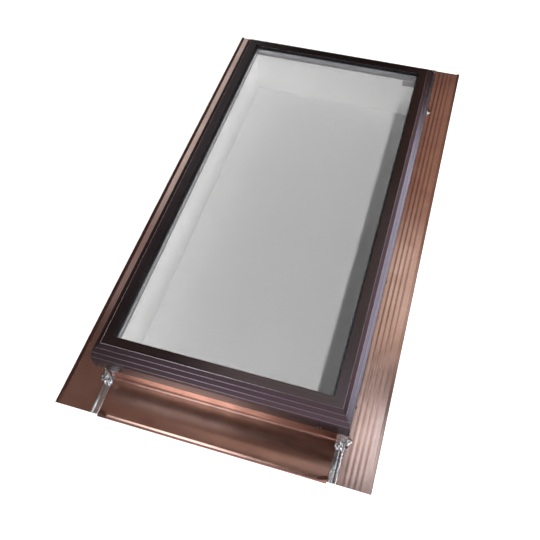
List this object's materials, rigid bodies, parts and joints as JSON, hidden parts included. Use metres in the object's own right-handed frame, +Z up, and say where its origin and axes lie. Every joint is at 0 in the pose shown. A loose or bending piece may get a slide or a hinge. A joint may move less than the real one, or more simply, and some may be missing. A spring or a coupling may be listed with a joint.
{
  "type": "roof skylight",
  "caption": "Fixed roof skylight: insulating glass on a board curb under a fluted dark metal cap, with a soldered copper flashing pan all round.",
  "frame": {"origin": "middle of the flashing pan's underside, on the roof deck plane", "axes": "+Z up from the roof deck, +Y up the roof slope towards the head, +X to the right seen from the sill"},
  "size_m": [0.7804, 1.462, 0.1706],
  "materials": {
    "copper_sheet": "weathered, lightly oxidised sheet copper",
    "solder": "dull cast solder",
    "copper_nail": "bare copper",
    "painted_wood": "white primed softwood",
    "zinc_plated_steel": "bright zinc plate",
    "grey_plate": "plain matt film",
    "grey_vinyl": "satin extruded vinyl",
    "grey_foam": "closed-cell foam",
    "black_rubber": "matt rubber",
    "clear_glass": "polished float glass",
    "mill_aluminium": "mill finish",
    "desiccant": "fine beads",
    "dark_sealant": "cured sealant",
    "bronze_anodised": "dark bronze anodised, semi-gloss",
    "black_screw": "black coated",
    "bright_washer": "bare metal"
  },
  "bodies": {
    "root": {"flashing_left": "copper_sheet", "flashing_right": "copper_sheet", "apron": "copper_sheet", "head_flashing": "copper_sheet", "solder_front_left": "solder", "solder_front_right": "solder", "solder_head_left": "solder", "solder_head_right": "solder", "flashing_nails": "copper_nail", "curb_left": "painted_wood", "curb_right": "painted_wood", "curb_sill": "painted_wood", "curb_head": "painted_wood", "curb_screws": "zinc_plated_steel", "blank_plate": "grey_plate", "glazing_frame_left": "grey_vinyl", "glazing_frame_right": "grey_vinyl", "glazing_frame_sill": "grey_vinyl", "glazing_frame_head": "grey_vinyl", "frame_screws": "zinc_plated_steel", "glazing_tape": "grey_foam", "setting_blocks": "black_rubber", "edge_blocks": "black_rubber", "outer_pane": "clear_glass", "inner_pane": "clear_glass", "spacer_bar": "mill_aluminium", "desiccant": "desiccant", "edge_sealant": "dark_sealant", "cap_left": "bronze_anodised", "cap_right": "bronze_anodised", "cap_sill": "bronze_anodised", "cap_head": "bronze_anodised", "cap_gasket": "black_rubber", "corner_keys": "mill_aluminium", "cap_screws": "black_screw", "screw_washers": "bright_washer"}
  },
  "joints": []
}
